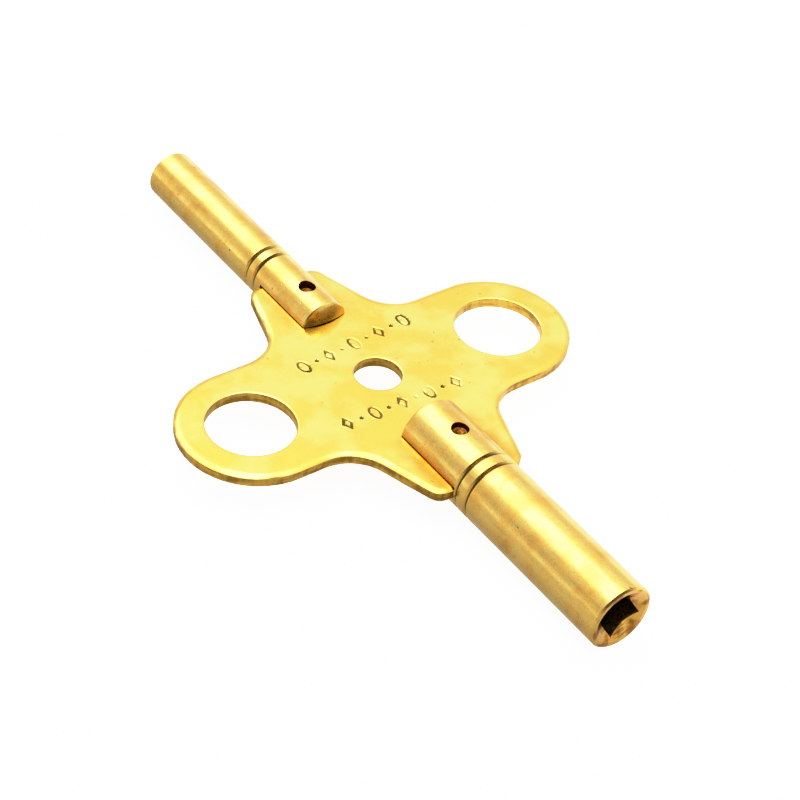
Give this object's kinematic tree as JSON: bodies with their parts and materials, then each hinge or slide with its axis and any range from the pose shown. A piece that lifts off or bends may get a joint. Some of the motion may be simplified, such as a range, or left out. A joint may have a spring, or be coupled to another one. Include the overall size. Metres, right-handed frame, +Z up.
{
  "type": "double-ended winding key",
  "caption": "Brass winding key: a flat stamped bow plate with finger holes, clasped by two coaxial turned barrels with square sockets of different size.",
  "frame": {"origin": "centre of the middle hole, half way through the plate's thickness, on the line of both barrels", "axes": "+X out of the large barrel's mouth, +Y along one wing of the bow plate, +Z up off the plate's marked face"},
  "size_m": [0.0753, 0.0444, 0.0068],
  "materials": {
    "plate_brass": "rolled and tumbled sheet, satin, with a sheared edge",
    "barrel_brass": "turned and lightly polished",
    "pin_brass": "dull, reddish, as driven in"
  },
  "bodies": {
    "root": {"bow_plate": "plate_brass", "large_barrel": "barrel_brass", "small_barrel": "barrel_brass", "large_cross_pin": "pin_brass", "small_cross_pin": "pin_brass"}
  },
  "joints": []
}
